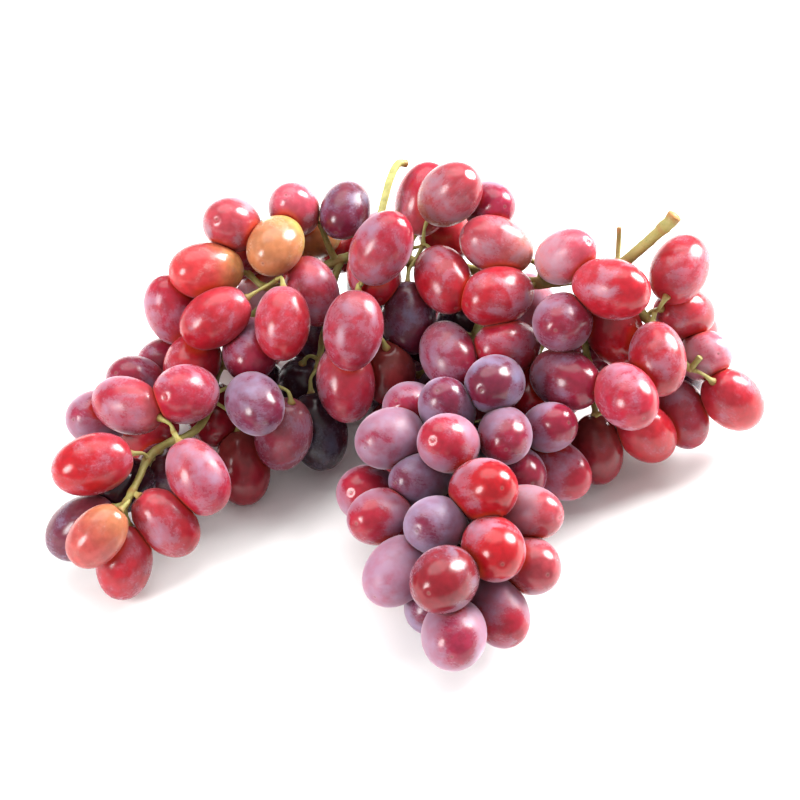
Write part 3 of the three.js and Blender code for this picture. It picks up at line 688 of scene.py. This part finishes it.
def grape_skin(colours):
    """Grape skin with bloom: a thin waxy dust over a taut, glossy skin on juicy flesh.

    Where the bloom is whole the berry looks matt and lilac, and where it was rubbed off deep red and shiny.
    On the side towards the lamps it is thinned too, as painted light.
    """
    material, node = new_material("grape_skin_with_bloom")
    place = node("Attribute", out=1, attribute_name="place")
    along, from_tip, bloom_share, rubbed_and_lit, touching = (
        node("Attribute", out=2, attribute_name=name)
        for name in ("along", "from_tip", "bloom_share", "rubbed_and_lit", "touching"))
    own_skin, stem_end, own_bloom = (
        node("Attribute", attribute_name=name) for name in ("skin", "stem_end", "bloom"))
    pattern = {
        name: node("TexNoise", {
            "Vector": place, "Scale": 1 / size, "Detail": detail, "Roughness": roughness,
            "Distortion": distortion})
        for name, (size, detail, roughness, distortion) in SKIN_PATTERNS.items()}
    stretched = node("VectorMath", (place, SCRATCH_STRETCH), operation="MULTIPLY")
    scratches = node("TexNoise", {"Vector": stretched, "Scale": 1 / SCRATCH, "Detail": 3, "Roughness": 0.6})

    # Skin: lighter near the stem, where the sun reached it least, with blotches of about 3 mm
    near_stem = node("Math", (pattern["waver"], 0.5, along), **MULTIPLY_ADD)
    near_stem = node("MapRange", (near_stem, 0.6, -0.75), **SMOOTH)
    blotches = node("MapRange", (pattern["blotches"], 0.3, 0.7, 0.84, 1.1), **SMOOTH)
    glow = node("MapRange", (touching, 0.3, 1, 0, 0.75), **SMOOTH)

    # Bloom: patches of 8 mm with ragged edges of 0.8 mm, rubbed off most at the tip, and thinned on the
    # side towards the lamps as painted light
    cover = 0.0
    for part, share in ((pattern["patches"], 1.4), (pattern["dust"], 0.5), (scratches, 0.35),
                        (bloom_share, 1.2), (rubbed_and_lit, -0.9), (touching, -0.7)):
        cover = node("Math", (part, share, cover), **MULTIPLY_ADD)
    bloom = node("MapRange", (cover, 1.3, 2), **SMOOTH)
    depth = node("MapRange", (pattern["depth"], 0.3, 0.7, 0.56, 0.84), **SMOOTH)
    thickness = node("Math", (bloom, depth), operation="MULTIPLY")

    # The scar of the flower: a dry dot 0.7 mm across in a pale ring of 1.5 mm
    ring = node("Math", (pattern["dust"], 0.5, from_tip), **MULTIPLY_ADD)
    ring = node("MapRange", (ring, 1.3, 0.7, 0, 0.07), **SMOOTH)
    scar = node("Math", (pattern["dust"], 0.3, from_tip), **MULTIPLY_ADD)
    scar = node("MapRange", (scar, 0.6, 0.42, 0, 0.5), **SMOOTH)

    colour = own_skin
    for share, layer, way in (
            (near_stem, stem_end, "MIX"), (1, blotches, "MULTIPLY"), (glow, colours.glow, "MIX"),
            (thickness, own_bloom, "MIX"), (ring, colours.scar_ring, "MIX"), (scar, colours.scar, "MIX")):
        colour = node("Mix", {0: share, 6: colour, 7: layer}, 2, data_type="RGBA", blend_type=way)
    relief = 0.0
    for part, share in ((pattern["dust"], 0.18), (pattern["pores"], 0.12), (bloom, 0.25), (scar, 2)):
        relief = node("Math", (part, share, relief), **MULTIPLY_ADD)
    bump = node("Bump", {"Height": relief, "Distance": 0.00012, "Strength": 0.55})
    dull = node("MapRange", (bloom, 0, 1, 0.16, 0.4), **SMOOTH)
    shader = node("BsdfPrincipled", {
        "Base Color": colour, "Normal": bump, "IOR": 1.42,
        "Roughness": node("Math", (scratches, 0.1, dull), **MULTIPLY_ADD),
        "Subsurface Weight": 0.34, "Subsurface Radius": (1, 0.28, 0.2), "Subsurface Scale": 0.005,
        "Sheen Weight": node("MapRange", (bloom, 0, 1, 0.08, 0.5), **SMOOTH),
        "Sheen Roughness": 0.35, "Sheen Tint": colours.sheen})
    node("OutputMaterial", {"Surface": shader})
    return material


def fresh_stem(colours):
    """Fresh grape stem: a ribbed green skin, corky and tan at its knots. Matt, with tiny brown specks."""
    material, node = new_material("fresh_grape_stem")
    place = node("Attribute", out=1, attribute_name="place")
    pale, knot = (node("Attribute", out=2, attribute_name=name) for name in ("pale", "knot"))
    mottle = node("TexNoise", {"Vector": place, "Scale": 1 / MOTTLE, "Detail": 4, "Roughness": 0.65})
    grain = node("TexNoise", {"Vector": place, "Scale": 1 / STEM_GRAIN, "Detail": 3})
    specks = node("TexVoronoi", {"Vector": place, "Scale": 1 / SPECKS_APART})
    greener = node("MapRange", (mottle, 0.35, 0.7, 0, 0.5), **SMOOTH)
    corky = node("Math", (mottle, 0.7, knot), **MULTIPLY_ADD)
    corky = node("MapRange", (corky, 0.55, 1.25), **SMOOTH)
    specks = node("MapRange", (specks, 0.2, 0.1, 0, 0.6), **SMOOTH)
    colour = colours.stem
    for share, layer in ((pale, colours.stem_pale), (greener, colours.stem_green),
                         (corky, colours.stem_tan), (specks, colours.stem_speck)):
        colour = node("Mix", {0: share, 6: colour, 7: layer}, 2, data_type="RGBA")
    height = node("Math", (grain, 0.6, mottle), **MULTIPLY_ADD)
    shader = node("BsdfPrincipled", {
        "Base Color": colour,
        "Roughness": node("MapRange", (mottle, 0.2, 0.8, 0.45, 0.65), **SMOOTH),
        "Normal": node("Bump", {"Height": height, "Distance": 0.0003, "Strength": 0.7}),
        "Subsurface Weight": 0.12, "Subsurface Radius": (1, 0.9, 0.3), "Subsurface Scale": 0.001})
    node("OutputMaterial", {"Surface": shader})
    return material


def cut_wood(colours):
    """Cut stem, dried for a few days: pale pith in the middle, brown fibres round it. Rough and matt."""
    material, node = new_material("cut_stem_wood")
    place = node("Attribute", out=1, attribute_name="place")
    middle = node("Attribute", out=2, attribute_name="knot")
    fibres = node("TexNoise", {"Vector": place, "Scale": 1 / WOOD_FIBRE, "Detail": 4, "Roughness": 0.7})
    colour = colours.cut_wood
    for share, layer in (
            (node("MapRange", (fibres, 0.3, 0.7), **SMOOTH), colours.cut_fibre),
            (node("MapRange", (middle, 0.35, 0.1), **SMOOTH), colours.pith)):
        colour = node("Mix", {0: share, 6: colour, 7: layer}, 2, data_type="RGBA")
    shader = node("BsdfPrincipled", {
        "Base Color": colour, "Roughness": 0.8,
        "Normal": node("Bump", {"Height": fibres, "Distance": 0.0004, "Strength": 0.8})})
    node("OutputMaterial", {"Surface": shader})
    return material


def white_card(colours):
    """White studio card: smooth, matt and even, so that it gives no pattern and only a soft shadow."""
    material, node = new_material("white_studio_card")
    shader = node("BsdfPrincipled", {
        "Base Color": colours.floor, "Roughness": 0.7, "Specular IOR Level": 0.2})
    node("OutputMaterial", {"Surface": shader})
    return material


def piece_from(name, points, faces, materials, fields, face_materials=None):
    """A smooth mesh object in metres from points in millimetres, with fields of values for each point."""
    mesh = bpy.data.meshes.new(name)
    mesh.from_pydata((points * MM).tolist(), [], faces)
    for field, values in fields.items():
        kind, part = FIELD_KINDS[values.shape[1:]]
        layer = mesh.attributes.new(field, kind, "POINT")
        layer.data.foreach_set(part, values.astype(np.float32).ravel())
    for material in materials:
        mesh.materials.append(material)
    if face_materials is not None:
        mesh.polygons.foreach_set("material_index", face_materials)
    mesh.shade_smooth()
    mesh.update()
    piece = bpy.data.objects.new(name, mesh)
    bpy.context.collection.objects.link(piece)
    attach(piece, "root")
    return piece


def parting_plane(a, b, swell):
    """The plane half way between two berries: its normal, its distance from a, and the gap there."""
    offset = np.subtract(b.at, a.at)
    normal = offset / np.linalg.norm(offset)
    for _ in range(PLANE_ROUNDS):
        between = offset + support(b, -normal, swell) - support(a, normal, swell)
        slope = between - normal * (between @ normal)
        normal = normal + slope / (2 * np.linalg.norm(offset))
        normal /= np.linalg.norm(normal)
    skin_a, skin_b = support(a, normal, swell), offset + support(b, -normal, swell)
    return normal, (skin_a + skin_b) @ normal / 2, (skin_b - skin_a) @ normal


def support(berry, normal, swell):
    """The point of the berry's skin that is furthest along a normal, from its middle."""
    axis = np.array(berry.axis)
    along = axis * (normal @ axis)
    wide, long = berry.half_width + swell, berry.half_length + swell
    skin = along * long**2 + (normal - along) * wide**2
    return skin / math.sqrt(normal @ skin)


def rounded_over(distance, softness):
    """How far a point is past a plane, eased in over a short way on both sides."""
    return softness * np.logaddexp(0, distance / softness)


def unit_berry(rings, sides):
    """The points of a smooth berry whose half sizes are 1, from its stem end to its tip along Z."""
    share = np.arange(rings + 1) / rings
    polar = math.pi * share - POLE_CROWDING * np.sin(2 * math.pi * share)
    turn = 2 * math.pi * np.arange(sides) / sides
    polar, turn = np.repeat(polar[1:-1], sides), np.tile(turn, rings - 1)
    beside = np.sin(polar) ** FULLNESS
    points = np.stack([beside * np.cos(turn), beside * np.sin(turn), -np.cos(polar)], axis=1)
    return np.vstack([[0, 0, -1], points, [0, 0, 1]])


def berry_shape(berry, smooth, sizes, draws):
    """The smooth berry at its own size in millimetres, uneven, and dimpled at both ends."""
    egg = draws.between(-EGG, EGG)
    uneven = sum(
        np.sin(smooth @ [draws.between(-LUMP_TURN, LUMP_TURN) for _ in range(3)]
               + draws.between(0, 2 * math.pi))
        for _ in range(LUMP_WAVES))
    lumps = sizes.lumps * TO_MM * (uneven / LUMP_WAVES - LUMP_LEVEL)
    wide = berry.half_width + sizes.swell * TO_MM + lumps
    long = berry.half_length + sizes.swell * TO_MM
    shape = smooth * np.stack([wide, wide, np.full(len(smooth), long)], axis=1)
    shape[:, :2] *= 1 + egg * smooth[:, 2:]
    from_axis = np.hypot(smooth[:, 0], smooth[:, 1]) * berry.half_width
    stem_dip = np.exp(-((from_axis / STEM_DIMPLE_WIDTH) ** 2)) * (smooth[:, 2] < 0)
    tip_dip = np.exp(-((from_axis / TIP_DIMPLE_WIDTH) ** 2))
    tip_dip -= RIM_HEIGHT * np.exp(-(((from_axis - RIM_RADIUS) / RIM_WIDTH) ** 2))
    tip_dip *= smooth[:, 2] > 0
    shape[:, 2] += sizes.stem_dimple * TO_MM * stem_dip - sizes.tip_dimple * TO_MM * tip_dip
    return shape


def press(points, berry, berries, sizes):
    """Moves a berry's points back to where others press on it, and tells how near each is to them."""
    touching = np.zeros(len(points))
    for other in berries:
        longest = berry.half_length + other.half_length + NEIGHBOUR_GAP
        if other is berry or length(less(other.at, berry.at)) > longest:
            continue
        normal, plane, gap = parting_plane(berry, other, sizes.swell * TO_MM)
        if gap < MEETING_GAP:
            past = points @ normal - plane
            touching = np.maximum(touching, np.exp(-np.maximum(-past, 0) / GLOW_REACH))
            points -= rounded_over(past + PARTING, sizes.softness * TO_MM)[:, None] * normal
    return touching


def berry_points(berry, berries, sizes, draws):
    """The points of one berry's skin, with what its material reads at each."""
    smooth = unit_berry(sizes.rings, sizes.sides)
    along = smooth[:, 2]
    shape = berry_shape(berry, smooth, sizes, draws)
    points = shape @ np.array(Vector(berry.axis).to_track_quat("Z", "Y").to_matrix()).T
    outwards = points / np.linalg.norm(points, axis=1)[:, None]
    touching = press(points, berry, berries, sizes)
    points += berry.at
    points[:, 2] += rounded_over(-points[:, 2], sizes.softness * TO_MM)
    in_front = berry.cluster == "front"
    rubbed_and_lit_share = draws.between(*RUBBED_AND_LIT_SHARES[in_front])
    # Real rubbing at the tip, plus painted light: the bloom thins on the side towards the lamps so that it
    # shows redder
    rubbed_and_lit = (TIP_RUB * along + LIT_SIDE_WEIGHT * (outwards @ LIT_SIDE) - RUBBED_AND_LIT_FROM) / RUBBED_AND_LIT_BAND
    rubbed_and_lit = np.clip(rubbed_and_lit, 0, 1)
    corner = [draws.between(0, PATTERN_ROOM) for _ in range(3)]
    skin, stem_end, bloom, cover = COMPLEXIONS[berry.complexion]
    tint = 1 + TINT_SPREAD * draws.between(-1, 1)
    cover += EXTRA_BLOOM[in_front] + BLOOM_SPREAD * draws.between(-1, 1)
    from_axis = np.hypot(smooth[:, 0], smooth[:, 1]) * berry.half_width
    fields = {
        "along": along, "place": shape + corner, "bloom_share": np.full(len(points), cover),
        "rubbed_and_lit": rubbed_and_lit_share * rubbed_and_lit**2 * (3 - 2 * rubbed_and_lit),
        "from_tip": np.hypot(from_axis, (1 - along) * berry.half_length),
        "touching": touching * min(1.0, linear(skin)[0] / GLOWING_RED),
    }
    for field, code in (("skin", skin), ("stem_end", stem_end), ("bloom", bloom)):
        fields[field] = np.tile([*np.array(linear(code)) * tint, 1], (len(points), 1))
    return points, fields


def berry_faces(rings, sides, first):
    """The faces of one berry whose points start at this number."""
    last = first + 1 + (rings - 1) * sides
    faces = []
    for k in range(sides):
        after = (k + 1) % sides
        faces.append((first, first + 1 + after, first + 1 + k))
        for ring in range(first + 1, last - sides, sides):
            faces.append((ring + k, ring + after, ring + sides + after, ring + sides + k))
        faces.append((last, last - sides + k, last - sides + after))
    return faces


def node_of(berry):
    """The node of the berry's cluster whose mesh is nearest to the berry's middle."""
    nodes = [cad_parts[name] for key, name in NODE_CLUSTERS.items() if key.startswith(berry.cluster)]

    def nearness(node):
        corners = np.empty(len(node.data.vertices) * 3)
        node.data.vertices.foreach_get("co", corners)
        return np.abs(np.linalg.norm(corners.reshape(-1, 3) - np.array(berry.at) * MM, axis=1)).min()

    return min(nodes, key=nearness).name


class GRAPES_OT_berries(bpy.types.Operator):
    """Makes the berries of every cluster, each pressed flat where it touches the next"""

    bl_idname = "grapes.berries"
    bl_label = "Berries"

    def execute(self, context):
        sizes = context.scene.berry_sizes
        skin = grape_skin(context.scene.grape_colours)
        berries = lay_out()[0]
        draws = Draws(SEED + 2)
        made = {}
        for berry in berries:
            part = (berry.cluster, *berry_points(berry, berries, sizes, draws))
            made.setdefault(node_of(berry), []).append(part)
        low, high = (np.array(corner) / MM for corner in CAD_BOX)
        for node, parts in made.items():
            faces, first = [], 0
            for _, points, _ in parts:
                faces += berry_faces(sizes.rings, sizes.sides, first)
                first += len(points)
            points = np.clip(np.vstack([part[1] for part in parts]), low, high)
            fields = {key: np.concatenate([part[2][key] for part in parts]) for key in parts[0][2]}
            piece = piece_from(node.replace("berries_", "grapes_"), points, faces, [skin], fields)
            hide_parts(node)
        return {"FINISHED"}


def smoothed(path, step):
    """Points and radii at even steps along a smooth curve through a path."""
    points = [np.array(at) for at, _ in path]
    radii = [radius for _, radius in path]
    spans = [np.linalg.norm(b - a) for a, b in zip(points, points[1:])]
    slopes = [(points[1] - points[0]) / spans[0]]
    for i in range(1, len(points) - 1):
        slopes.append((points[i + 1] - points[i - 1]) / (spans[i - 1] + spans[i]))
    slopes.append((points[-1] - points[-2]) / spans[-1])
    places, widths = [], []
    for i, span in enumerate(spans):
        pieces = max(1, round(span / step))
        for t in np.arange(pieces + (i == len(spans) - 1)) / pieces:
            ease = t * t * (3 - 2 * t)
            bend = slopes[i] * (t**3 - 2 * t**2 + t) + slopes[i + 1] * (t**3 - t**2)
            places.append(points[i] * (1 - ease) + points[i + 1] * ease + bend * span)
            widths.append(radii[i] * (1 - t) + radii[i + 1] * t)
    return places, widths


def fading(distance, reach):
    """A share that falls from 1 to nearly nothing over about twice the reach."""
    return np.exp(-((distance / reach) ** 2))


class Tubes:
    """Gathers round stems into one mesh."""

    def __init__(self, sizes, joints):
        self.sizes = sizes
        self.joints = np.array(joints)
        self.points, self.faces, self.face_materials = [], [], []
        self.pale, self.knots = [], []

    def add(self, path, sides, pale, collar=False, cut=False):
        """Adds a stem along a path, with a collar at its start or a cut face at its end."""
        sizes = self.sizes
        places, widths = smoothed(path, sizes.step * TO_MM)
        run = np.cumsum([0] + [np.linalg.norm(b - a) for a, b in zip(places, places[1:])])
        first = len(self.points)
        side = None
        for i, (place, width) in enumerate(zip(places, widths)):
            ahead = places[min(i + 1, len(places) - 1)] - places[max(i - 1, 0)]
            ahead = ahead / np.linalg.norm(ahead)
            if side is None:
                side = np.cross(SIDE_GUIDE, ahead)
            side = side - ahead * (side @ ahead)
            side /= np.linalg.norm(side)
            other = np.cross(ahead, side)
            from_joints = np.linalg.norm(self.joints - place, axis=1)
            knot = fading(from_joints.min(), sizes.knot_width * TO_MM)
            width += sizes.knot * TO_MM * knot
            tan = knot * KNOT_TAN
            if collar:
                width += (sizes.collar * TO_MM - width) * fading(run[i], COLLAR_LENGTH)
                tan = max(tan, COLLAR_TAN * fading(run[i], COLLAR_TAN_LENGTH))
            if cut:
                tan = max(tan, CUT_TAN * fading(run[-1] - run[i], CUT_TAN_LENGTH))
            for k in range(sides):
                angle = 2 * math.pi * k / sides
                spot = np.array([math.cos(angle), math.sin(angle), WART_TWIST * k])
                wart = lattice.noise(place * WART_PACE + spot * WART_ROUND)
                rib = sizes.ribs * TO_MM * math.cos(RIBS * angle + run[i] * RIB_TWIST)
                reach = width * (1 + WART_HEIGHT * wart) + rib
                self.points.append(place + reach * (side * math.cos(angle) + other * math.sin(angle)))
                self.pale.append(pale)
                self.knots.append(tan)
        last = first + (len(places) - 1) * sides
        for ring in range(first, last, sides):
            for k in range(sides):
                a, b = ring + k, ring + (k + 1) % sides
                self.faces.append((a, b, b + sides, a + sides))
                self.face_materials.append(0)
        self.close(first, sides, places[0], True, 0)
        self.close(last, sides, places[-1], False, 1 if cut else 0)

    def close(self, ring, sides, middle, turned, material):
        """Closes an end with an inner ring and a middle point."""
        rim = np.array(self.points[ring:ring + sides])
        inner = len(self.points)
        outwards = np.cross(rim[1] - rim[0], rim[2] - rim[1])
        outwards *= (-1 if turned else 1) / np.linalg.norm(outwards)
        radius = np.linalg.norm(rim - middle, axis=1).mean()
        for point in rim:
            self.points.append(middle + (point - middle) * END_RING + outwards * radius * END_RISE)
            self.knots.append(CUT_RING_TAN if material else self.knots[ring])
        rise, tan = (CUT_MIDDLE_RISE, 0.0) if material else (END_MIDDLE_RISE, self.knots[ring])
        self.points.append(middle + outwards * radius * rise)
        self.knots.append(tan)
        self.pale += [self.pale[ring]] * (sides + 1)
        for k in range(sides):
            after = (k + 1) % sides
            band = (ring + k, ring + after, inner + after, inner + k)
            fan = (inner + k, inner + after, inner + sides)
            self.faces += [band[::-1], fan[::-1]] if turned else [band, fan]
            self.face_materials += [material, material]

    def piece(self, name, materials):
        """The gathered stems as one piece that stands for the part's own stem."""
        points = np.array(self.points)
        points[:, 2] = np.maximum(points[:, 2], 0)
        fields = {"place": points, "pale": np.array(self.pale), "knot": np.array(self.knots)}
        piece = piece_from(name, points, self.faces, materials, fields, self.face_materials)
        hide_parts("stem_framework")


class GRAPES_OT_stem(bpy.types.Operator):
    """Makes the branching stem, with its cut end, its bare twigs and a pedicel for each berry"""

    bl_idname = "grapes.stem"
    bl_label = "Stem"

    def execute(self, context):
        sizes = context.scene.stem_sizes
        swell = context.scene.berry_sizes.swell * TO_MM
        _, arms, bare, pedicels = lay_out()
        colours = context.scene.grape_colours
        materials = [fresh_stem(colours), cut_wood(colours)]
        joints = [path[0][0] for path in (arms + bare)[1:]] + [path[-1][0] for path in pedicels.values()]
        thick = Tubes(sizes, joints)
        for name, path in zip([*ARMS, *BARE_TWIGS], arms + bare):
            pale = STALK_PALE if name == "stalk" else ARM_PALE
            thick.add(path, ARM_SIDES, pale, cut=name in ("stalk", "cut_end", "beside_cut"))
        thick.piece("stem_arms", materials)
        thin = Tubes(sizes, joints)
        for berry, path in pedicels.items():
            root = plus(berry.at, berry.axis, -(berry.half_length + swell - ROOT_DEPTH))
            slim = [(at, radius * sizes.thinness) for at, radius in [(root, path[0][1])] + path[1:]]
            thin.add(slim, PEDICEL_SIDES, PEDICEL_PALE, collar=True)
        thin.piece("pedicels", materials)
        return {"FINISHED"}


def area_light(name, towards, distance, size, power):
    """A soft box that hangs in a direction from the bunch and faces it."""
    lamp = bpy.data.lights.new(name, "AREA")
    lamp.shape = "ELLIPSE"
    lamp.size, lamp.size_y = size
    lamp.energy = power
    light = bpy.data.objects.new(name, lamp)
    light.location = Vector(towards).normalized() * distance
    light.rotation_euler = Vector(towards).to_track_quat("Z", "Y").to_euler()
    bpy.context.collection.objects.link(light)


class GRAPES_OT_stage(bpy.types.Operator):
    """Makes the plain floor, the soft studio light and the camera"""

    bl_idname = "grapes.stage"
    bl_label = "Stage"

    def execute(self, context):
        scene = context.scene
        corners = [(x * FLOOR_REACH / MM, y * FLOOR_REACH / MM, -FLOOR_DEPTH)
                   for x, y in ((-1, -1), (1, -1), (1, 1), (-1, 1))]
        floor = piece_from(
            "studio_floor", np.array(corners), [(0, 1, 2, 3)], [white_card(scene.grape_colours)], {})
        for name, lamp in LAMPS.items():
            area_light(name, *lamp)
        world = bpy.data.worlds.new("studio_white")
        world.use_nodes = True
        sky = world.node_tree.nodes["Background"]
        sky.inputs["Color"].default_value = (1, 1, 1, 1)
        sky.inputs["Strength"].default_value = SKY_STRENGTH
        scene.world = world
        lens = bpy.data.cameras.new("photo_camera")
        lens.lens = SENSOR_WIDTH * EYE_DISTANCE / SEEN_WIDTH
        lens.sensor_width = SENSOR_WIDTH
        camera = bpy.data.objects.new("photo_camera", lens)
        camera.location = Vector(EYE) * MM
        camera.rotation_euler = Euler((math.pi / 2 - VIEW_TILT, 0, 0))
        scene.collection.objects.link(camera)
        scene.camera = camera
        scene.view_settings.view_transform = "Standard"
        return {"FINISHED"}


class GRAPES_PT_panel(bpy.types.Panel):
    """The bunch of grapes in the sidebar"""

    bl_idname = "GRAPES_PT_panel"
    bl_label = "Bunch of grapes"
    bl_space_type = "VIEW_3D"
    bl_region_type = "UI"
    bl_category = "Grapes"

    def draw(self, context):
        for name, _ in SETTINGS:
            group = getattr(context.scene, name)
            box = self.layout.box()
            for field in group.bl_rna.properties:
                if field.identifier not in ("rna_type", "name"):
                    box.prop(group, field.identifier)
        for operator in OPERATORS:
            self.layout.operator(operator.bl_idname)


SETTINGS = (("berry_sizes", BerrySizes), ("stem_sizes", StemSizes), ("grape_colours", GrapeColours))
OPERATORS = (GRAPES_OT_berries, GRAPES_OT_stem, GRAPES_OT_stage)
CLASSES = (*(group for _, group in SETTINGS), *OPERATORS, GRAPES_PT_panel)


def register():
    for kind in CLASSES:
        bpy.utils.register_class(kind)
    for name, group in SETTINGS:
        setattr(bpy.types.Scene, name, bpy.props.PointerProperty(type=group))


def unregister():
    for name, _ in SETTINGS:
        delattr(bpy.types.Scene, name)
    for kind in reversed(CLASSES):
        bpy.utils.unregister_class(kind)


def main():
    register()
    bpy.ops.grapes.berries()
    bpy.ops.grapes.stem()
    bpy.ops.grapes.stage()


if __name__ == "__main__":
    main()
